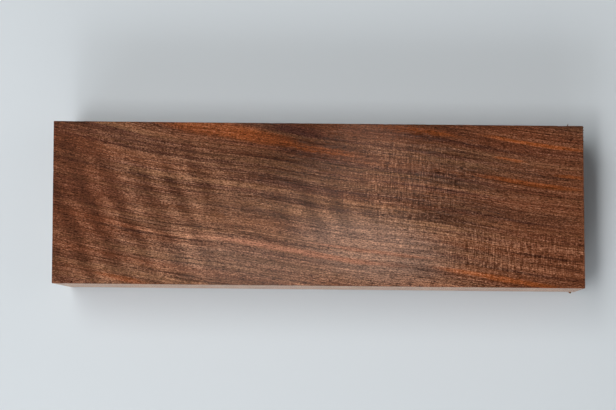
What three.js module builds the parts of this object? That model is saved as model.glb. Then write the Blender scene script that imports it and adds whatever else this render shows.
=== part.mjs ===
// Caucasian walnut turning blank: one block of wood, sawn and planed, with crisp edges.
// Its two ends are cross-cut a little out of square, as a rough blank's are.
// Millimetres, +Z up, with the length along X and the width along Y.
// The origin lies under the middle of the block, on the surface that it rests on.

import * as THREE from 'three';

// Sizes of the block
const LENGTH = 300; // of the top face, from end to end
const WIDTH = 92;
const THICKNESS = 52;

// How far the end cuts are out of true
const END_SKEW = 0.85; // how far the back of each end lies to the left of its front
const LEFT_END_LEAN = 3.6; // how far the left end is cut in under the top face
const RIGHT_END_LEAN = 1.8; // how far the right end's foot stands out past the top face

// The edges are only just taken off
const EDGE_ROUNDING = 0.4;
const EDGE_STEPS = 2;

// Finish
const WALNUT_BROWN = 0x714a37;
const PLANED_ROUGHNESS = 0.5;

// The block's four corners as seen from the front: x along the length, y up.
function frontCorners() {
  const half = LENGTH / 2;
  return [
    new THREE.Vector2(-half + LEFT_END_LEAN, 0),
    new THREE.Vector2(half + RIGHT_END_LEAN, 0),
    new THREE.Vector2(half, THICKNESS),
    new THREE.Vector2(-half, THICKNESS),
  ];
}

// A point on the way from one corner to the next, one edge rounding along.
function beside(corner, neighbour) {
  const step = neighbour.clone().sub(corner).setLength(EDGE_ROUNDING);
  return corner.clone().add(step);
}

// The front outline, with each corner rounded off.
function frontOutline() {
  const corners = frontCorners();
  const outline = new THREE.Shape();
  corners.forEach((corner, index) => {
    const before = corners[(index + corners.length - 1) % corners.length];
    const after = corners[(index + 1) % corners.length];
    const start = beside(corner, before);
    const end = beside(corner, after);
    if (index === 0) {
      outline.moveTo(start.x, start.y);
    } else {
      outline.lineTo(start.x, start.y);
    }
    outline.quadraticCurveTo(corner.x, corner.y, end.x, end.y);
  });
  outline.closePath();
  return outline;
}

// The front outline run through the width, then skewed and set on the origin.
function blankGeometry() {
  const geometry = new THREE.ExtrudeGeometry(frontOutline(), {
    depth: WIDTH - 2 * EDGE_ROUNDING,
    curveSegments: EDGE_STEPS,
    bevelEnabled: true,
    bevelThickness: EDGE_ROUNDING,
    bevelSize: EDGE_ROUNDING,
    bevelOffset: -EDGE_ROUNDING,
    bevelSegments: EDGE_STEPS,
  });
  geometry.rotateX(Math.PI / 2);
  const skew = new THREE.Matrix4().makeShear(0, 0, -END_SKEW / WIDTH, 0, 0, 0);
  geometry.applyMatrix4(skew);
  geometry.computeBoundingBox();
  const middle = geometry.boundingBox.getCenter(new THREE.Vector3());
  geometry.translate(-middle.x, -middle.y, -geometry.boundingBox.min.z);
  return geometry;
}

const walnut = new THREE.MeshStandardMaterial({
  color: WALNUT_BROWN,
  roughness: PLANED_ROUGHNESS,
  metalness: 0,
});

const blank = new THREE.Mesh(blankGeometry(), walnut);
blank.name = 'walnut_blank';

const group = new THREE.Group();
group.name = 'walnut_turning_blank';
group.add(blank);

export default group;
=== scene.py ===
"""A Caucasian walnut turning blank, planed and sawn, on a pale studio floor."""

import math

import bmesh
import bpy
from bpy.props import FloatProperty, FloatVectorProperty, PointerProperty
from mathutils import Matrix, Vector, noise


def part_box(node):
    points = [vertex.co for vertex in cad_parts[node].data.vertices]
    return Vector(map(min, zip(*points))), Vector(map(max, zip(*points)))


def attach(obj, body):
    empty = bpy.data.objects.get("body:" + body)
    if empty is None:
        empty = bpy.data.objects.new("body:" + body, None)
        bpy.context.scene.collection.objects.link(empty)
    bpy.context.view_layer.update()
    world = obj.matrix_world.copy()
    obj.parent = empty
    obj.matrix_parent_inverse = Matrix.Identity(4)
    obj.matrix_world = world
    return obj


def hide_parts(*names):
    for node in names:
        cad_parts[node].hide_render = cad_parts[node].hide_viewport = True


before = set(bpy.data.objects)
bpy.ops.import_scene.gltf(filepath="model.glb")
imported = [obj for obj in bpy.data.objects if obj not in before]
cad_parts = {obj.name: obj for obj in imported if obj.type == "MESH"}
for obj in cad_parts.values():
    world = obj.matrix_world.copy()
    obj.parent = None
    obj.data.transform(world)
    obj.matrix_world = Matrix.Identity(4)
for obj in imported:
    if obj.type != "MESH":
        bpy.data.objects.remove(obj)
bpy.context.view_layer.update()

bl_info = {
    "name": "Walnut Turning Blank",
    "version": (1, 0, 0),
    "blender": (4, 5, 0),
    "location": "3D Viewport > Sidebar > Blank",
    "description": "Cuts a walnut turning blank from the frame and lights it in a plain studio",
    "category": "Add Mesh",
}

BLANK_NODE = "walnut_blank"
BLANK_LOW, BLANK_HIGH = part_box(BLANK_NODE)
MM = 0.001


def linear(code):
    """An sRGB hex code as linear red, green, blue and alpha."""
    shares = [int(code[i:i + 2], 16) / 255 for i in (1, 3, 5)]
    return tuple(s / 12.92 if s <= 0.04045 else ((s + 0.055) / 1.055) ** 2.4 for s in shares) + (1.0,)


# Sizes and colours that a user would change

class BlankSizes(bpy.types.PropertyGroup):
    """How the block is cut."""

    end_skew: FloatProperty(
        name="End Skew", description="How far the back of each end lies to the left of its front",
        default=0.85 * MM, unit="LENGTH", precision=5)
    left_lean: FloatProperty(
        name="Left Lean", description="How far the left end is cut in under the top face",
        default=3.6 * MM, unit="LENGTH", precision=5)
    right_lean: FloatProperty(
        name="Right Lean", description="How far the right end's foot stands out past the top face",
        default=1.8 * MM, unit="LENGTH", precision=5)
    edge_rounding: FloatProperty(
        name="Edge Rounding", description="How much of each edge is taken off",
        default=0.4 * MM, unit="LENGTH", precision=5)
    edge_wear: FloatProperty(
        name="Edge Wear", description="How deep the nicks along the edges go",
        default=0.35 * MM, unit="LENGTH", precision=5)
    saw_depth: FloatProperty(
        name="Saw Mark Depth", description="How deep the saw's marks are on the two ends",
        default=0.2 * MM, unit="LENGTH", precision=5)


class GrainSizes(bpy.types.PropertyGroup):
    """How the wood grew."""

    pith_side: FloatProperty(
        name="Pith Distance", description="How far in front of the blank the middle of the tree lay",
        default=260 * MM, unit="LENGTH")
    pith_height: FloatProperty(
        name="Pith Height", description="How high the middle of the tree lay at the blank's left end",
        default=31 * MM, unit="LENGTH")
    rise: FloatProperty(
        name="Fibre Rise", description="How much the fibres climb towards the right, for each unit along",
        default=0.14)
    ring_width: FloatProperty(
        name="Ring Width", description="Width of one year's growth",
        default=5.6 * MM, unit="LENGTH", precision=5)


class WalnutColours(bpy.types.PropertyGroup):
    """What the wood's layers look like when freshly planed."""

    brown: FloatVectorProperty(
        name="Brown", description="The darker ground of the heartwood",
        subtype="COLOR", size=4, min=0, max=1, default=linear("#633925"))
    tan: FloatVectorProperty(
        name="Tan", description="The lighter layers of the heartwood",
        subtype="COLOR", size=4, min=0, max=1, default=linear("#8b5e41"))
    russet: FloatVectorProperty(
        name="Russet", description="Reddish layers between the brown ones",
        subtype="COLOR", size=4, min=0, max=1, default=linear("#80472d"))
    orange: FloatVectorProperty(
        name="Orange", description="The bright pigment streaks",
        subtype="COLOR", size=4, min=0, max=1, default=linear("#a05228"))
    salmon: FloatVectorProperty(
        name="Salmon", description="Paler, pinkish streaks",
        subtype="COLOR", size=4, min=0, max=1, default=linear("#a0664e"))
    pale: FloatVectorProperty(
        name="Pale", description="The lightest fibres",
        subtype="COLOR", size=4, min=0, max=1, default=linear("#8f6850"))
    # Painted sheen: a greyish colour laid where the gloss glows, standing in for the shine of the fibres
    painted_shine_grey: FloatVectorProperty(
        name="Grey", description="Greyish brown, where the fibres shine",
        subtype="COLOR", size=4, min=0, max=1, default=linear("#87695b"))
    plum: FloatVectorProperty(
        name="Plum", description="Purplish layers and clouds in the brown",
        subtype="COLOR", size=4, min=0, max=1, default=linear("#5e352b"))
    dark: FloatVectorProperty(
        name="Dark", description="The dark pigment lines",
        subtype="COLOR", size=4, min=0, max=1, default=linear("#4a2a20"))


class StudioLook(bpy.types.PropertyGroup):
    """The floor and the lights."""

    floor: FloatVectorProperty(
        name="Floor", description="The pale, slightly blue floor",
        subtype="COLOR", size=4, min=0, max=1, default=linear("#dfe2e5"))
    brightness: FloatProperty(name="Brightness", description="Scales every light", default=1.0)


# The wood

# How the grain runs in plan: it bends most at the left end, snakes a little all along, and sways from
# spot to spot. Lengths are in mm, and slopes are for each unit along
GRAIN_START = BLANK_LOW.x / MM + 0.5
GRAIN_SLOPE = 0.135
LEFT_BEND = 0.12
LEFT_BEND_REACH = 45.0
SNAKE_SLOPE = 0.037
SNAKE_LENGTH = 105.0
SNAKE_START = 143.0
SWAY = 3.2
SWAY_SIZES = (90, 26, 26)

# How the fibres climb besides their common rise: more at the left end, more with each mm to the back,
# less and less between two places along the blank in mm, and a little differently from fibre to fibre
LEFT_RISE = 0.06
BACK_RISE = 0.0009
FLATTENING = 0.13
FLATTENING_START = -80.0
FLATTENING_END = 110.0
WAVE_SPREAD = 0.06
GLINT_SPREAD = 0.32

# Noise along the grain: length, width and height of its features in mm, detail, and a seed.
# Pores are drawn two to four times as wide as real ones, so that they show at the photo's size
FRAY = (16, 1.3, 6, 2, 5)
UNEVEN_YEARS = (400, 14, 60, 1, 71)
RING_PATCHES = (110, 5, 40, 1, 93)
PORES = (3.5, 0.4, 1.0, 0, 29)
WAVES = (14, 22, 22, 1, 51)
GLINTS = (9, 0.7, 3, 1, 151)
SIDE_LAYER_DEPTH = 0.2

# Layers of colour over the brown ground: colour, the noise that lays them, the range of the noise over
# which the colour comes in, and how much of it there is at most
LAYERS = (
    ("tan", (180, 4.5, 30, 2, 11), 0.3, 0.7, 1.0),
    ("russet", (240, 8, 40, 1, 37), 0.42, 0.7, 0.75),
    ("plum", (130, 2.8, 25, 1, 59), 0.48, 0.72, 0.75),
)

# How dark each year's growth is: place within the year, and darkness
YEAR_SHADES = (
    (0.0, 0.0),
    (0.78, 0.2),
    (0.94, 1.0),
    (0.985, 0.0),
)
YEAR_UNEVENNESS = 2.4  # how many years' width the rings wander by

# Thin dark lines along the grain: how wide the layers between them are in mm, how dark they are, and a
# seed. Their length and height are given in widths
THIN_LINES = (
    (2.4, 0.65, 113),
    (1.5, 0.45, 131),
)
THIN_LINE_LENGTH = 90
THIN_LINE_HEIGHT = 18
THIN_LINE_RANGE = 0.14  # of the noise around its middle level, for layers 1 mm wide

# Streaks: colour, middle along the blank and level across the grain, half length, half width, strength
STREAKS = (
    ("russet", 5, 0, 50, 60, 0.5),
    ("russet", 300, 30, 90, 60, 0.6),
    ("russet", 230, 76, 110, 16, 0.6),
    ("russet", 255, -7, 60, 6, 0.5),
    # Painted sheen: grey streaks where the gloss glows
    ("painted_shine_grey", 180, -1, 64, 26, 0.68),
    ("painted_shine_grey", 108, -21, 70, 18, 0.32),
    ("orange", 92, 54.2, 44, 5.4, 0.7),
    ("orange", 118, 52.6, 30, 4.6, 0.75),
    ("orange", 148, 51.2, 32, 2.8, 0.7),
    ("orange", 203, 69.8, 32, 3.2, 0.9),
    ("orange", 272, 72.9, 40, 1.5, 1.0),
    ("orange", 258, 62, 13, 1.1, 0.7),
    ("orange", 270, 49.5, 40, 1.9, 0.8),
    ("orange", 294, 56.5, 14, 1.5, 0.7),
    ("russet", 24, -9.2, 50, 2.0, 0.9),
    ("salmon", 138, -8, 92, 2.4, 0.9),
    ("orange", 254, -7, 50, 2.0, 0.9),
    ("salmon", 182, -1.5, 56, 1.6, 0.7),
    ("orange", 39, -40, 20, 1.8, 0.5),
    ("plum", 140, 60.5, 22, 4.2, 0.9),
    ("russet", 170, 66, 60, 10, 0.6),
    ("dark", 230, 66.5, 76, 1.2, 0.75),
    ("dark", 45, 21, 52, 0.9, 0.7),
    ("dark", 128, 20.5, 28, 1.0, 0.7),
    ("dark", 245, 27.5, 62, 1.0, 0.8),
    ("dark", 266, 31, 44, 5.0, 0.35),
    ("dark", 65, -10.9, 72, 0.8, 0.6),
    ("dark", 276, 9, 32, 0.9, 0.6),
    ("dark", 149, -3.4, 16, 1.0, 0.6),
    ("dark", 270, 55, 38, 1.3, 0.6),
    ("dark", 250, -1.5, 56, 1.2, 0.6),
    ("dark", 154, -20.5, 32, 1.5, 0.5),
)
STREAK_DEPTH = 20.0
STREAK_CORE = 0.4

# Fibres: length, width and height in mm, contrast, and a seed. The finest are drawn a few times as coarse
# as real ones, so that they show at the photo's size
FIBRES = (
    (1.0, 0.4, 0.8, 3.0, 3),
    (9, 0.38, 2.0, 0.85, 7),
    (60, 0.5, 10, 1.35, 17),
    (90, 0.9, 12, 0.85, 41),
    (150, 2.2, 20, 0.5, 67),
    (220, 6.0, 40, 0.5, 83),
)

# The tables of areas below all give: middle from the left end and from the back, half sizes, strength

# Curl: bars across the grain at this spacing in mm, which lean to the right as they come forward. They
# tilt the fibres a little for the gloss, and also darken the colour as painted shade, standing in for
# wavy fibres turning from the light
CURL_SPACING = 17.55
CURL_LEAN = 0.45
CURL_START = 0.38  # of a spacing, from the back left corner
CURL_WOBBLE = 0.7  # of a spacing
CURL_WOBBLE_SIZE = 20.0
# How much the curl bars darken the colour: painted shade
CURL_PAINTED_SHADE = 0.3
CURL_RISE = 0.02
CURL_DEPTH = 40.0
CURL_AREAS = (
    (26, 58, 78, 80, 1.0),
    (80, 36, 36, 40, 0.7),
    (80, 84, 30, 30, 0.6),
    (156, 50, 60, 28, 0.95),
)

# Broad areas that are lighter or darker than the rest. The first three, around the middle of the top and
# in a band
# to the back, are a painted highlight: the glow of the satin gloss, painted into the colour over the real
# gloss
PLAIN_LIGHT = 0.84
AREA_DEPTH = 34.0
PAINTED_GLOW_AND_BROAD_AREAS = (
    # Painted highlight, where the gloss glows
    (176, 74, 96, 48, 0.43),
    (182, 70, 36, 24, 0.2),
    (186, 28, 32, 34, 0.24),
    (78, 68, 70, 44, 0.4),
    (50, 16, 40, 38, 0.24),
    (90, 30, 48, 32, 0.26),
    (4, 26, 30, 50, -0.2),
    (138, 6, 46, 32, -0.3),
    (205, 0, 54, 18, -0.34),
    (252, 68, 64, 36, 0.2),
    (226, 94, 44, 22, 0.34),
    (20, 94, 62, 14, 0.3),
)

# Areas where the fibres dip away from the light or turn back to it
DULL_AREAS = (
    (115, 2, 90, 56, 0.12),
    (238, -4, 75, 36, -0.1),
)

# Marks of the planer, square to the length: faint everywhere, and plain in these areas
PLANER_MARK_SIZES = (0.6, 5, 5)
PLANER_CONTRAST = 1.7
PLANER_FAINTNESS = 0.15
PLANER_DEPTH = 3.0
PLANER_CORE = 0.3
PLANER_AREAS = (
    (203, 34, 50, 36, 1.0),
    (262, 73, 64, 20, 1.1),
)

TOP_INSET = 0.4  # from the left of the CAD box to the top face
BUMP_HEIGHT = 0.03 * MM


def add(tree, kind, settings=None, links=None):
    """Adds a node with its settings; links gives each input, by name or number, a socket or a value."""
    node = tree.nodes.new(kind)
    for name, value in (settings or {}).items():
        setattr(node, name, value)
    for name, source in (links or {}).items():
        if isinstance(source, bpy.types.NodeSocket):
            tree.links.new(source, node.inputs[name])
        else:
            node.inputs[name].default_value = source
    return node


def place_in_tree(along, level, grain):
    """Where a spot of the top face lies: along the fibres, out from the pith, and up, in mm."""
    up = BLANK_HIGH.z / MM - grain.rise * along
    return along, math.hypot(level + grain.pith_side / MM, up - grain.pith_height / MM), up


def on_top(from_left, from_back):
    """A spot of the top face, in mm from the middle of the blank's foot."""
    left_edge = BLANK_LOW.x / MM + TOP_INSET
    return left_edge + from_left, BLANK_HIGH.y / MM - from_back, BLANK_HIGH.z / MM


def grain_place(tree, grain):
    """The point itself, the same place for every point of the wood, and how much the left end's bend
    counts there."""
    position = add(tree, "ShaderNodeTexCoord").outputs["Object"]
    point = add(tree, "ShaderNodeVectorMath", {"operation": "SCALE"}, {0: position, "Scale": 1 / MM})
    point = point.outputs["Vector"]
    sway = add(tree, "ShaderNodeMapping", {"vector_type": "TEXTURE"},
               {"Vector": point, "Scale": SWAY_SIZES})
    sway = add(tree, "ShaderNodeTexNoise", {}, {"Vector": sway.outputs[0], "Scale": 1, "Detail": 1})
    sway = add(tree, "ShaderNodeVectorMath", {"operation": "MULTIPLY_ADD"},
               {0: sway.outputs["Color"], 1: (0, SWAY, SWAY), 2: (0, -SWAY / 2, -SWAY / 2)})
    moved = add(tree, "ShaderNodeVectorMath", {"operation": "ADD"}, {0: point, 1: sway.outputs[0]})
    parts = add(tree, "ShaderNodeSeparateXYZ", {}, {0: moved.outputs[0]})
    along = add(tree, "ShaderNodeMath", {"operation": "SUBTRACT"},
                {0: parts.outputs["X"], 1: GRAIN_START}).outputs[0]
    across = add(tree, "ShaderNodeMath", {"operation": "MULTIPLY_ADD"},
                 {0: along, 1: GRAIN_SLOPE, 2: parts.outputs["Y"]})
    bend = add(tree, "ShaderNodeMath", {"operation": "MULTIPLY"}, {0: along, 1: -1 / LEFT_BEND_REACH})
    bend = add(tree, "ShaderNodeMath", {"operation": "EXPONENT"}, {0: bend.outputs[0]}).outputs[0]
    across = add(tree, "ShaderNodeMath", {"operation": "MULTIPLY_ADD"},
                 {0: bend, 1: -LEFT_BEND * LEFT_BEND_REACH, 2: across.outputs[0]})
    turn = 2 * math.pi / SNAKE_LENGTH
    angle = add(tree, "ShaderNodeMath", {"operation": "MULTIPLY_ADD"},
                {0: along, 1: turn, 2: -turn * SNAKE_START})
    snake = add(tree, "ShaderNodeMath", {"operation": "SINE"}, {0: angle.outputs[0]})
    across = add(tree, "ShaderNodeMath", {"operation": "MULTIPLY_ADD"},
                 {0: snake.outputs[0], 1: SNAKE_SLOPE / turn, 2: across.outputs[0]})
    up = add(tree, "ShaderNodeMath", {"operation": "MULTIPLY_ADD"},
             {0: along, 1: -grain.rise, 2: parts.outputs["Z"]})
    from_pith = add(tree, "ShaderNodeCombineXYZ", {}, {"Y": across.outputs[0], "Z": up.outputs[0]})
    from_pith = add(tree, "ShaderNodeVectorMath", {"operation": "SUBTRACT"},
                    {0: from_pith.outputs[0], 1: (0, -grain.pith_side / MM, grain.pith_height / MM)})
    out = add(tree, "ShaderNodeVectorMath", {"operation": "LENGTH"}, {0: from_pith.outputs[0]})
    place = add(tree, "ShaderNodeCombineXYZ", {},
                {"X": along, "Y": out.outputs["Value"], "Z": up.outputs[0]})
    return point, place.outputs[0], bend


def side_layers(tree, place, normal):
    """The place by which layers are laid. They stand on edge in the top and the bottom, and are turned to
    stand on edge in the front and the back too, so that every side shows its grain as long lines."""
    facing = add(tree, "ShaderNodeSeparateXYZ", {}, {0: normal})
    facing = add(tree, "ShaderNodeMath", {"operation": "ABSOLUTE"}, {0: facing.outputs["Y"]})
    share = add(tree, "ShaderNodeMapRange", {},
                {"Value": facing.outputs[0], "From Min": 0.6, "From Max": 0.8})
    parts = add(tree, "ShaderNodeSeparateXYZ", {}, {0: place})
    depth = add(tree, "ShaderNodeMath", {"operation": "MULTIPLY"},
                {0: parts.outputs["Y"], 1: SIDE_LAYER_DEPTH})
    turned = add(tree, "ShaderNodeCombineXYZ", {},
                 {"X": parts.outputs["X"], "Y": parts.outputs["Z"], "Z": depth.outputs[0]})
    return add(tree, "ShaderNodeMix", {"data_type": "VECTOR"},
               {"Factor": share.outputs[0], 4: place, 5: turned.outputs[0]}).outputs[1]


def grain_noise(tree, place, length, width, height, detail, seed):
    """Noise drawn out along the fibres: its features are this long, this wide and this high, in mm."""
    stretched = add(tree, "ShaderNodeMapping", {"vector_type": "TEXTURE"},
                    {"Vector": place, "Location": (seed, seed, seed), "Scale": (length, width, height)})
    return add(tree, "ShaderNodeTexNoise", {},
               {"Vector": stretched.outputs[0], "Scale": 1, "Detail": detail}).outputs["Fac"]


def lens(tree, vector, middle, half_sizes, core):
    """A mask that is one in the core of a long lens and falls softly to nothing at its skin."""
    inside = add(tree, "ShaderNodeMapping", {"vector_type": "TEXTURE"},
                 {"Vector": vector, "Location": middle, "Scale": half_sizes})
    distance = add(tree, "ShaderNodeVectorMath", {"operation": "LENGTH"}, {0: inside.outputs[0]})
    return add(tree, "ShaderNodeMapRange", {"interpolation_type": "SMOOTHSTEP"},
               {"Value": distance.outputs["Value"], "From Min": 1.0, "From Max": core,
                "To Min": 0.0, "To Max": 1.0}).outputs[0]


def with_areas(tree, total, point, areas, depth, core=0.0):
    """The value, with the strength of each area added inside it."""
    for from_left, from_back, half_x, half_y, strength in areas:
        mask = lens(tree, point, on_top(from_left, from_back), (half_x, half_y, depth), core)
        total = add(tree, "ShaderNodeMath", {"operation": "MULTIPLY_ADD"},
                    {0: mask, 1: strength, 2: total}).outputs[0]
    return total


def layer_colour(tree, layers, colours):
    """The brown ground, with layers of other colours drawn out along the grain."""
    ground = colours.brown[:]
    for name, pattern, low, high, most in LAYERS:
        share = grain_noise(tree, layers, *pattern)
        share = add(tree, "ShaderNodeMapRange", {},
                    {"Value": share, "From Min": low, "From Max": high, "To Max": most})
        ground = add(tree, "ShaderNodeMix", {"data_type": "RGBA"},
                     {"Factor": share.outputs[0], "A": ground, "B": getattr(colours, name)[:]}).outputs[2]
    return ground


def year_lines(tree, layers, frayed_layers, grain):
    """How dark the year rings are: a line where each year's growth ends, plainer in some patches."""
    parts = add(tree, "ShaderNodeSeparateXYZ", {}, {0: frayed_layers})
    uneven = grain_noise(tree, layers, *UNEVEN_YEARS)
    year = add(tree, "ShaderNodeMath", {"operation": "MULTIPLY"},
               {0: parts.outputs["Y"], 1: MM / grain.ring_width})
    year = add(tree, "ShaderNodeMath", {"operation": "MULTIPLY_ADD"},
               {0: uneven, 1: YEAR_UNEVENNESS, 2: year.outputs[0]})
    within = add(tree, "ShaderNodeMath", {"operation": "FRACT"}, {0: year.outputs[0]})
    line = add(tree, "ShaderNodeValToRGB", {}, {"Fac": within.outputs[0]})
    stops = line.color_ramp.elements
    while len(stops) < len(YEAR_SHADES):
        stops.new(1.0)
    for stop, (position, darkness) in zip(stops, YEAR_SHADES):
        stop.position = position
        stop.color = (darkness, darkness, darkness, 1.0)
    patches = grain_noise(tree, layers, *RING_PATCHES)
    patches = add(tree, "ShaderNodeMapRange", {},
                  {"Value": patches, "From Min": 0.35, "From Max": 0.62, "To Max": 0.6})
    return add(tree, "ShaderNodeMath", {"operation": "MULTIPLY"},
               {0: line.outputs[0], 1: patches.outputs[0]}).outputs[0]


def lines_and_streaks(tree, ground, place, layers, grain, colours):
    """The ground with year rings, thin dark lines that run far along the grain, and streaks in their own
    places. Rings and streaks have frayed edges."""
    fray = grain_noise(tree, layers, *FRAY)
    fray = add(tree, "ShaderNodeMath", {"operation": "MULTIPLY_ADD"}, {0: fray, 1: 2.0, 2: -1.0})
    fray = add(tree, "ShaderNodeCombineXYZ", {}, {"Y": fray.outputs[0]})
    frayed = add(tree, "ShaderNodeVectorMath", {"operation": "ADD"}, {0: place, 1: fray.outputs[0]})
    frayed_layers = add(tree, "ShaderNodeVectorMath", {"operation": "ADD"},
                        {0: layers, 1: fray.outputs[0]})

    ring = year_lines(tree, layers, frayed_layers.outputs[0], grain)
    ground = add(tree, "ShaderNodeMix", {"data_type": "RGBA"},
                 {"Factor": ring, "A": ground, "B": colours.dark[:]}).outputs[2]

    for width, darkness, seed in THIN_LINES:
        length = THIN_LINE_LENGTH * width
        height = THIN_LINE_HEIGHT * width
        level = grain_noise(tree, layers, length, width, height, 0, seed)
        level = add(tree, "ShaderNodeMath", {"operation": "SUBTRACT"}, {0: level, 1: 0.5})
        level = add(tree, "ShaderNodeMath", {"operation": "ABSOLUTE"}, {0: level.outputs[0]})
        thin = add(tree, "ShaderNodeMapRange", {"interpolation_type": "SMOOTHSTEP"},
                   {"Value": level.outputs[0], "From Min": 0.0, "From Max": THIN_LINE_RANGE / width,
                    "To Min": darkness, "To Max": 0.0})
        ground = add(tree, "ShaderNodeMix", {"data_type": "RGBA"},
                     {"Factor": thin.outputs[0], "A": ground, "B": colours.dark[:]}).outputs[2]

    for name, along, level, half_length, half_width, strength in STREAKS:
        middle = place_in_tree(along, level, grain)
        half_sizes = (half_length, half_width, STREAK_DEPTH)
        mask = lens(tree, frayed.outputs[0], middle, half_sizes, STREAK_CORE)
        share = add(tree, "ShaderNodeMath", {"operation": "MULTIPLY"}, {0: mask, 1: strength})
        ground = add(tree, "ShaderNodeMix", {"data_type": "RGBA"},
                     {"Factor": share.outputs[0], "A": ground, "B": getattr(colours, name)[:]}).outputs[2]
    return ground


def fibre_light(tree, layers):
    """How light each fibre is, with short dark dashes for the pores."""
    light = 1.0
    for length, width, height, contrast, seed in FIBRES:
        fibre = grain_noise(tree, layers, length, width, height, 1, seed)
        fibre = add(tree, "ShaderNodeMath", {"operation": "MULTIPLY_ADD"},
                    {0: fibre, 1: contrast, 2: 1.0 - contrast / 2})
        light = add(tree, "ShaderNodeMath", {"operation": "MULTIPLY"},
                    {0: fibre.outputs[0], 1: light}).outputs[0]
    pore = grain_noise(tree, layers, *PORES)
    pore = add(tree, "ShaderNodeMapRange", {},
               {"Value": pore, "From Min": 0.6, "From Max": 0.74, "To Min": 1.0, "To Max": 0.4})
    return add(tree, "ShaderNodeMath", {"operation": "MULTIPLY"},
               {0: light, 1: pore.outputs[0]}).outputs[0]


def curl_bars(tree, point):
    """A slow ripple along the length, from minus one to one, in the areas that have curl."""
    wobble = add(tree, "ShaderNodeTexNoise", {},
                 {"Vector": point, "Scale": 1 / CURL_WOBBLE_SIZE, "Detail": 2})
    ripple = add(tree, "ShaderNodeVectorMath", {"operation": "DOT_PRODUCT"},
                 {0: point, 1: (1 / CURL_SPACING, CURL_LEAN / CURL_SPACING, 0)})
    corner = on_top(0, 0)
    start = (corner[0] + CURL_LEAN * corner[1]) / CURL_SPACING + CURL_START
    ripple = add(tree, "ShaderNodeMath", {"operation": "SUBTRACT"},
                 {0: ripple.outputs["Value"], 1: start})
    ripple = add(tree, "ShaderNodeMath", {"operation": "MULTIPLY_ADD"},
                 {0: wobble.outputs["Fac"], 1: CURL_WOBBLE, 2: ripple.outputs[0]})
    ripple = add(tree, "ShaderNodeMath", {"operation": "MULTIPLY"},
                 {0: ripple.outputs[0], 1: 2 * math.pi})
    ripple = add(tree, "ShaderNodeMath", {"operation": "COSINE"}, {0: ripple.outputs[0]})
    strong = with_areas(tree, 0.0, point, CURL_AREAS, CURL_DEPTH)
    return add(tree, "ShaderNodeMath", {"operation": "MULTIPLY"},
               {0: ripple.outputs[0], 1: strong}).outputs[0]


def planer_marks(tree, point):
    """The planer's marks, as a share of the light that they leave or add."""
    marks = add(tree, "ShaderNodeMapping", {"vector_type": "TEXTURE"},
                {"Vector": point, "Scale": PLANER_MARK_SIZES})
    marks = add(tree, "ShaderNodeTexNoise", {}, {"Vector": marks.outputs[0], "Scale": 1, "Detail": 1})
    marks = add(tree, "ShaderNodeMath", {"operation": "SUBTRACT"}, {0: marks.outputs["Fac"], 1: 0.5})
    planed = with_areas(tree, PLANER_FAINTNESS, point, PLANER_AREAS, PLANER_DEPTH, PLANER_CORE)
    marks = add(tree, "ShaderNodeMath", {"operation": "MULTIPLY"}, {0: marks.outputs[0], 1: planed})
    return add(tree, "ShaderNodeMath", {"operation": "MULTIPLY_ADD"},
               {0: marks.outputs[0], 1: PLANER_CONTRAST, 2: 1.0}).outputs[0]


def fibre_direction(tree, point, place, layers, bend, bars, grain):
    """Which way the fibres run at each point. They climb to the right, so they catch light that comes
    from one side."""
    rise = grain_noise(tree, place, *WAVES)
    rise = add(tree, "ShaderNodeMath", {"operation": "MULTIPLY_ADD"},
               {0: rise, 1: WAVE_SPREAD, 2: grain.rise - WAVE_SPREAD / 2})
    glint = grain_noise(tree, layers, *GLINTS)
    rise = add(tree, "ShaderNodeMath", {"operation": "MULTIPLY_ADD"},
               {0: glint, 1: GLINT_SPREAD, 2: rise.outputs[0]})
    rise = add(tree, "ShaderNodeMath", {"operation": "SUBTRACT"},
               {0: rise.outputs[0], 1: GLINT_SPREAD / 2})
    rise = add(tree, "ShaderNodeMath", {"operation": "MULTIPLY_ADD"},
               {0: bend, 1: LEFT_RISE, 2: rise.outputs[0]})
    parts = add(tree, "ShaderNodeSeparateXYZ", {}, {0: point})
    rise = add(tree, "ShaderNodeMath", {"operation": "MULTIPLY_ADD"},
               {0: parts.outputs["Y"], 1: BACK_RISE, 2: rise.outputs[0]})
    rise = add(tree, "ShaderNodeMath", {"operation": "MULTIPLY_ADD"},
               {0: bars, 1: CURL_RISE, 2: rise.outputs[0]})
    flatter = add(tree, "ShaderNodeMapRange", {},
                  {"Value": parts.outputs["X"], "From Min": FLATTENING_START, "From Max": FLATTENING_END,
                   "To Min": FLATTENING / 2, "To Max": -FLATTENING / 2})
    rise = add(tree, "ShaderNodeMath", {"operation": "ADD"}, {0: flatter.outputs[0], 1: rise.outputs[0]})
    rise = with_areas(tree, rise.outputs[0], point, DULL_AREAS, AREA_DEPTH)
    sideways = add(tree, "ShaderNodeMath", {"operation": "MULTIPLY_ADD"},
                   {0: bend, 1: -LEFT_BEND, 2: -GRAIN_SLOPE})
    fibre = add(tree, "ShaderNodeCombineXYZ", {}, {"X": 1.0, "Y": sideways.outputs[0], "Z": rise})
    fibre = add(tree, "ShaderNodeVectorMath", {"operation": "NORMALIZE"}, {0: fibre.outputs[0]})
    return fibre.outputs[0]


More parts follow.
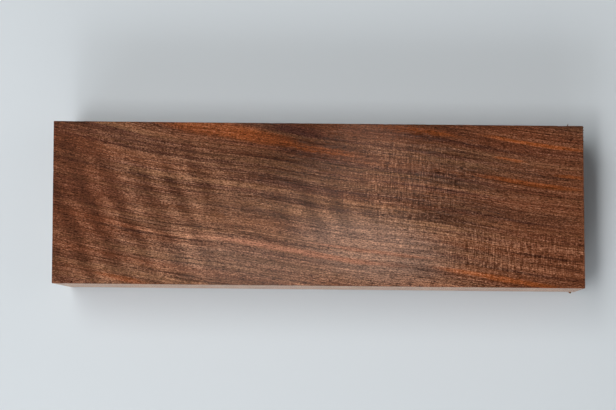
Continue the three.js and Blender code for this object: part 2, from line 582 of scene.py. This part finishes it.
def fibre_normal(tree, normal, fibre):
    """The normal, tilted to stand square on the fibres. End grain keeps the face's own normal."""
    facing = add(tree, "ShaderNodeVectorMath", {"operation": "DOT_PRODUCT"}, {0: normal, 1: fibre})
    facing = facing.outputs["Value"]
    steep = add(tree, "ShaderNodeMath", {"operation": "ABSOLUTE"}, {0: facing})
    share = add(tree, "ShaderNodeMapRange", {},
                {"Value": steep.outputs[0], "From Min": 0.4, "From Max": 0.6,
                 "To Min": -1.0, "To Max": 0.0})
    tilt = add(tree, "ShaderNodeMath", {"operation": "MULTIPLY"}, {0: facing, 1: share.outputs[0]})
    tilt = add(tree, "ShaderNodeVectorMath", {"operation": "SCALE"}, {0: fibre, "Scale": tilt.outputs[0]})
    tilted = add(tree, "ShaderNodeVectorMath", {"operation": "ADD"}, {0: normal, 1: tilt.outputs[0]})
    tilted = add(tree, "ShaderNodeVectorMath", {"operation": "NORMALIZE"}, {0: tilted.outputs[0]})
    return tilted.outputs[0]


def walnut(grain, colours):
    """Caucasian walnut, planed but not oiled: brown and tan layers with darker ring lines,
    orange streaks, bars of curl across the grain painted darker as shade, fine dark pores, a satin sheen,
    and a painted highlight in the colour around the middle of the top."""
    material = bpy.data.materials.new("planed_walnut")
    material.use_nodes = True
    tree = material.node_tree
    tree.nodes.clear()
    normal = add(tree, "ShaderNodeNewGeometry").outputs["Normal"]
    point, place, bend = grain_place(tree, grain)
    layers = side_layers(tree, place, normal)
    ground = layer_colour(tree, layers, colours)
    ground = lines_and_streaks(tree, ground, place, layers, grain, colours)

    light = fibre_light(tree, layers)
    bars = curl_bars(tree, point)
    # Painted shade: the curl bars darken the colour as if the wavy fibres turned from the light
    curl_painted_shade = add(tree, "ShaderNodeMath", {"operation": "MULTIPLY_ADD"}, {0: bars, 1: -CURL_PAINTED_SHADE, 2: 1.0})
    # Painted highlight: the broad areas lift the colour where the gloss glows, and change its tone
    # elsewhere
    broad_and_painted_glow = with_areas(tree, PLAIN_LIGHT, point, PAINTED_GLOW_AND_BROAD_AREAS, AREA_DEPTH)
    for share in (curl_painted_shade.outputs[0], broad_and_painted_glow, planer_marks(tree, point)):
        light = add(tree, "ShaderNodeMath", {"operation": "MULTIPLY"}, {0: light, 1: share}).outputs[0]

    # Light fibres are paler, not only brighter, and so is the painted highlight
    darker = add(tree, "ShaderNodeMath", {"operation": "MINIMUM"}, {0: light, 1: 1.0}).outputs[0]
    lighter = add(tree, "ShaderNodeMath", {"operation": "SUBTRACT"}, {0: light, 1: darker}).outputs[0]
    colour = add(tree, "ShaderNodeVectorMath", {"operation": "SCALE"}, {0: ground, "Scale": darker})
    pale = add(tree, "ShaderNodeVectorMath", {"operation": "SCALE"},
               {0: colours.pale[:3], "Scale": lighter})
    colour = add(tree, "ShaderNodeVectorMath", {"operation": "ADD"},
                 {0: colour.outputs[0], 1: pale.outputs[0]})

    # Gloss that is drawn out across the fibres, and sheen where the wood is seen or lit at a slant
    fibre = fibre_direction(tree, point, place, layers, bend, bars, grain)
    tilted = fibre_normal(tree, normal, fibre)
    bump = add(tree, "ShaderNodeBump", {},
               {"Strength": 1.0, "Distance": BUMP_HEIGHT, "Height": light, "Normal": tilted})
    shader = add(tree, "ShaderNodeBsdfPrincipled", {}, {
        "Base Color": colour.outputs[0], "Roughness": 0.24, "IOR": 1.5, "Anisotropic": 0.8,
        "Anisotropic Rotation": 0.25, "Specular IOR Level": 0.09,
        "Specular Tint": linear("#ffe0cf"),
        "Sheen Weight": 1.0, "Sheen Roughness": 0.25, "Sheen Tint": linear("#eccdb9"),
        "Tangent": fibre, "Normal": bump.outputs[0]})
    add(tree, "ShaderNodeOutputMaterial", {}, {"Surface": shader.outputs[0]})
    return material


# The block

# How far apart the mesh's lines are along x, y and z, fine enough for nicks and saw marks
GRID = (1.9 * MM, 0.8 * MM, 1.3 * MM)
ROUNDING_STEPS = 3
LONG_EDGE = 10 * MM

# Nicks: how near to a face they come (the ends lean, so it is more there), how large they are, and the
# level of the noise at which they start
NICK_REACH = 0.6 * MM
LEFT_NICK_REACH = 4 * MM
RIGHT_NICK_REACH = 2.5 * MM
NICK_SIZE = 4 * MM
SMALL_NICK_SIZE = 1.5 * MM
NICK_START = 0.35

# Saw marks: how far apart they are, how much they lean and wander, and how large the deeper patches are
SAW_PITCH = 3.1 * MM
SAW_LEAN = 0.12
SAW_WANDER = 0.6
SAW_WANDER_SIZE = 20 * MM
SAW_PATCH_SIZE = 9 * MM

# Splinters: where they grow and how far they are pulled out, in mm, and how wide their roots are, as a
# share of the mesh face that they grow from
SPLINTERS = (
    ((148.6, -46, 0.2), (0.4, -0.9, 0.1), 0.9),
    ((147, -46, 0.2), (0.7, -1.0, 0.1), 0.9),
    ((140.3, 46, 51.8), (0.3, 1.2, 0.1), 0.25),
    ((150, 45, 51.8), (0.3, 0.1, 0.0), 0.7),
    ((150, 43.5, 51.8), (0.45, -0.1, 0.0), 0.5),
    ((150, 42, 51.8), (0.25, 0.1, 0.0), 0.7),
    ((150, 39.6, 51.8), (0.4, 0.1, 0.0), 0.5),
    ((150, 37.2, 51.8), (0.25, -0.1, 0.0), 0.6),
)
ROOT_PULL = 0.1
TIP_TAPER = 0.4


def corner_place(corner, sizes):
    """Where a corner of the block lies once its ends are cut out of square."""
    right, back, top = (value > 0 for value in corner)
    half_skew = sizes.end_skew / 2
    x = BLANK_HIGH.x - sizes.right_lean - half_skew if right else BLANK_LOW.x + half_skew
    if not top:
        x += sizes.right_lean if right else sizes.left_lean
    x += -half_skew if back else half_skew
    return Vector((x, BLANK_HIGH.y if back else BLANK_LOW.y, BLANK_HIGH.z if top else BLANK_LOW.z))


def cut_block(sizes):
    """The block as a closed mesh: sawn, with its edges rounded, and divided finely enough for wear."""
    bm = bmesh.new()
    bmesh.ops.create_cube(bm, size=2.0)
    for vert in bm.verts:
        vert.co = corner_place(vert.co, sizes)
    bmesh.ops.bevel(bm, geom=bm.edges[:], affect="EDGES", offset=sizes.edge_rounding,
                    offset_type="OFFSET", segments=ROUNDING_STEPS, profile=0.5, material=-1)
    for axis, pitch in zip("xyz", GRID):
        runs = [e for e in bm.edges if abs(getattr(e.verts[0].co - e.verts[1].co, axis)) > LONG_EDGE]
        cuts = int(max(e.calc_length() for e in runs) / pitch)
        bmesh.ops.subdivide_edges(bm, edges=runs, cuts=cuts, use_grid_fill=True)
    return bm


def wear_block(bm, sizes):
    """Nicks along the edges and the saw's marks across the two ends."""
    for vert in bm.verts:
        co = vert.co.copy()
        normal = vert.normal.copy()
        faces_near = sum((
            min(co.x - BLANK_LOW.x - LEFT_NICK_REACH, BLANK_HIGH.x - RIGHT_NICK_REACH - co.x) < 0,
            min(co.y - BLANK_LOW.y, BLANK_HIGH.y - co.y) < NICK_REACH,
            min(co.z - BLANK_LOW.z, BLANK_HIGH.z - co.z) < NICK_REACH))
        if faces_near >= 2:
            nick = noise.noise(co / NICK_SIZE) + 0.5 * noise.noise(co / SMALL_NICK_SIZE)
            vert.co -= normal * sizes.edge_wear * max(0.0, nick - NICK_START)
        elif abs(normal.x) > 0.9:
            sweep = (co.y + SAW_LEAN * co.z) / SAW_PITCH + SAW_WANDER * noise.noise(co / SAW_WANDER_SIZE)
            mark = 0.5 + 0.5 * math.sin(2 * math.pi * sweep)
            depth = 0.55 + 0.45 * noise.noise(co / SAW_PATCH_SIZE)
            vert.co -= normal * sizes.saw_depth * mark * depth


def raise_splinters(bm):
    """Small splinters that the saw left: the nearest face is drawn in to a root, then pulled to a tip."""
    for place, pull, width in SPLINTERS:
        start = Vector(place) * MM
        face = min(bm.faces, key=lambda f: (f.calc_center_median() - start).length)
        for out, taper in ((ROOT_PULL, width), (1 - ROOT_PULL, TIP_TAPER)):
            face = bmesh.ops.extrude_discrete_faces(bm, faces=[face])["faces"][0]
            middle = face.calc_center_median()
            for vert in face.verts:
                vert.co = middle + (vert.co - middle) * taper + Vector(pull) * MM * out


def finish_piece(bm, name, material):
    """Turns the mesh into an object that rides on the frame and stands for the CAD solid."""
    bmesh.ops.recalc_face_normals(bm, faces=bm.faces[:])
    mesh = bpy.data.meshes.new(name)
    bm.to_mesh(mesh)
    bm.free()
    mesh.materials.append(material)
    mesh.shade_smooth()
    piece = bpy.data.objects.new(name, mesh)
    bpy.context.scene.collection.objects.link(piece)
    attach(piece, "root")
    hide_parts(BLANK_NODE)


class WALNUT_OT_cut_blank(bpy.types.Operator):
    """Cut the blank, wear its edges and give it its grain"""

    bl_idname = "walnut.cut_blank"
    bl_label = "Cut Blank"
    bl_options = {"REGISTER", "UNDO"}

    def execute(self, context):
        scene = context.scene
        bm = cut_block(scene.blank_sizes)
        bm.normal_update()
        wear_block(bm, scene.blank_sizes)
        raise_splinters(bm)
        finish_piece(bm, "planed_block", walnut(scene.grain_sizes, scene.walnut_colours))
        return {"FINISHED"}


# The studio

# The camera, worked out from the block's corners in the photo: its turn is in degrees, its lens in mm
CAMERA_PLACE = Vector((-4.86, -87.37, 1063.67)) * MM
CAMERA_TURN = (4.912, 0.058, 0.564)
CAMERA_LENS = 105.19

FLOOR_RADIUS = 3.0
COVE_RADIUS = 1.5
COVE_STEPS = 12
FLOOR_SIDES = 96

# A trace of light from all round
AIR_COLOUR = "#e4e8ee"
AIR_STRENGTH = 0.02

# The backdrop's soft boxes: how far out and how high they hang, how much they look up, size and watts
BACKDROP_REACH = 1.0
BACKDROP_HEIGHT = 1.3
BACKDROP_LIFT = 0.5
BACKDROP_LIGHT_SIZE = 0.6
BACKDROP_WATTS = 30.0

# Soft boxes for the blank: name, lean from straight up to the right and to the back in degrees, width and
# length in metres, watts, colour
LIGHT_DISTANCE = 2.0
LIGHTS = (
    ("ceiling_strip", -14, -9, 0.17, 0.8, 8.3, "#ffffff"),
    ("ceiling_left", -21, -9, 0.35, 0.8, 6.4, "#faffff"),
    ("ceiling_back", -18, 16, 0.55, 0.8, 8.8, "#f8ffff"),
    ("front_strip", -16, -50, 0.5, 0.5, 5.3, "#f3f9ff"),
    ("front_left", -40, -50, 0.8, 0.8, 5.3, "#f3f9ff"),
    ("back_left", -45, 20, 0.8, 0.8, 2.65, "#f9f9ff"),
    ("front_low", 0, -60, 1.0, 1.0, 6.4, "#faffff"),
    ("right", 35, 0, 1.0, 1.0, 1.8, "#ffffff"),
)


def floor_paper(colour):
    """Matt background paper: pale, faintly blue, with no gloss to speak of."""
    material = bpy.data.materials.new("background_paper")
    material.use_nodes = True
    shader = material.node_tree.nodes["Principled BSDF"]
    shader.inputs["Base Color"].default_value = colour
    shader.inputs["Roughness"].default_value = 0.8
    shader.inputs["Specular IOR Level"].default_value = 0.2
    return material


def lay_floor(colour):
    """A round floor whose rim curves up into a low wall, so that every view has a backdrop."""
    bm = bmesh.new()
    profile = [bm.verts.new((0, 0, 0)), bm.verts.new((FLOOR_RADIUS, 0, 0))]
    for step in range(1, COVE_STEPS + 1):
        angle = math.pi / 2 * step / COVE_STEPS
        profile.append(bm.verts.new((FLOOR_RADIUS + COVE_RADIUS * math.sin(angle), 0,
                                     COVE_RADIUS * (1 - math.cos(angle)))))
    edges = [bm.edges.new(pair) for pair in zip(profile, profile[1:])]
    bmesh.ops.spin(bm, geom=profile + edges, cent=(0, 0, 0), axis=(0, 0, 1), angle=2 * math.pi,
                   steps=FLOOR_SIDES, use_merge=True)
    bmesh.ops.remove_doubles(bm, verts=bm.verts[:], dist=0.1 * MM)
    bmesh.ops.recalc_face_normals(bm, faces=bm.faces[:])
    mesh = bpy.data.meshes.new("studio_floor")
    bm.to_mesh(mesh)
    bm.free()
    mesh.materials.append(floor_paper(colour))
    mesh.shade_smooth()
    floor = bpy.data.objects.new("studio_floor", mesh)
    bpy.context.scene.collection.objects.link(floor)


def hang_light(name, lean_x, lean_y, width, length, power, colour, brightness):
    """A soft box that faces the blank from a direction given as its lean from straight up, in degrees.
    Its width lies along X and its length along Y."""
    towards = Vector((math.tan(math.radians(lean_x)), math.tan(math.radians(lean_y)), 1)).normalized()
    side = Vector((0, 1, 0)).cross(towards).normalized()
    data = bpy.data.lights.new(name, "AREA")
    data.shape = "RECTANGLE"
    data.size = width
    data.size_y = length
    data.energy = power * brightness
    data.color = linear(colour)[:3]
    light = bpy.data.objects.new(name, data)
    light.location = towards * LIGHT_DISTANCE
    light.rotation_euler = Matrix((side, towards.cross(side), towards)).transposed().to_euler()
    bpy.context.scene.collection.objects.link(light)


def light_backdrop(brightness):
    """Four soft boxes that face away from the blank, so that the far floor and the wall stay pale."""
    for turn in range(4):
        outward = Matrix.Rotation(math.pi / 2 * turn, 3, "Z") @ Vector((1, 0, 0))
        data = bpy.data.lights.new("backdrop", "AREA")
        data.size = BACKDROP_LIGHT_SIZE
        data.energy = BACKDROP_WATTS * brightness
        light = bpy.data.objects.new("backdrop", data)
        light.location = outward * BACKDROP_REACH + Vector((0, 0, BACKDROP_HEIGHT))
        aim = outward + Vector((0, 0, BACKDROP_LIFT))
        light.rotation_euler = aim.to_track_quat("-Z", "Y").to_euler()
        bpy.context.scene.collection.objects.link(light)


class WALNUT_OT_light_studio(bpy.types.Operator):
    """Lay the floor, hang the lights and set the camera"""

    bl_idname = "walnut.light_studio"
    bl_label = "Light Studio"
    bl_options = {"REGISTER", "UNDO"}

    def execute(self, context):
        scene = context.scene
        look = scene.studio_look
        lay_floor(look.floor)
        for light in LIGHTS:
            hang_light(*light, look.brightness)
        light_backdrop(look.brightness)
        data = bpy.data.cameras.new("camera")
        data.lens = CAMERA_LENS
        camera = bpy.data.objects.new("camera", data)
        camera.location = CAMERA_PLACE
        camera.rotation_euler = [math.radians(turn) for turn in CAMERA_TURN]
        scene.collection.objects.link(camera)
        scene.camera = camera
        world = bpy.data.worlds.new("studio_air")
        world.use_nodes = True
        air = world.node_tree.nodes["Background"]
        air.inputs["Color"].default_value = linear(AIR_COLOUR)
        air.inputs["Strength"].default_value = AIR_STRENGTH
        scene.world = world
        scene.view_settings.view_transform = "Standard"
        return {"FINISHED"}


class WALNUT_PT_blank(bpy.types.Panel):
    """Sizes, colours and buttons"""

    bl_idname = "WALNUT_PT_blank"
    bl_label = "Turning Blank"
    bl_space_type = "VIEW_3D"
    bl_region_type = "UI"
    bl_category = "Blank"

    def draw(self, context):
        layout = self.layout
        for group in ("blank_sizes", "grain_sizes", "walnut_colours", "studio_look"):
            settings = getattr(context.scene, group)
            column = layout.column(align=True)
            for name in settings.__annotations__:
                column.prop(settings, name)
        layout.operator(WALNUT_OT_cut_blank.bl_idname)
        layout.operator(WALNUT_OT_light_studio.bl_idname)


CLASSES = (BlankSizes, GrainSizes, WalnutColours, StudioLook,
           WALNUT_OT_cut_blank, WALNUT_OT_light_studio, WALNUT_PT_blank)


def register():
    """Adds the settings, the operators and the panel."""
    for cls in CLASSES:
        bpy.utils.register_class(cls)
    bpy.types.Scene.blank_sizes = PointerProperty(type=BlankSizes)
    bpy.types.Scene.grain_sizes = PointerProperty(type=GrainSizes)
    bpy.types.Scene.walnut_colours = PointerProperty(type=WalnutColours)
    bpy.types.Scene.studio_look = PointerProperty(type=StudioLook)


def unregister():
    """Takes them away again."""
    for group in ("blank_sizes", "grain_sizes", "walnut_colours", "studio_look"):
        delattr(bpy.types.Scene, group)
    for cls in reversed(CLASSES):
        bpy.utils.unregister_class(cls)


def main():
    """Makes the whole scene."""
    register()
    bpy.ops.walnut.cut_blank()
    bpy.ops.walnut.light_studio()


if __name__ == "__main__":
    main()
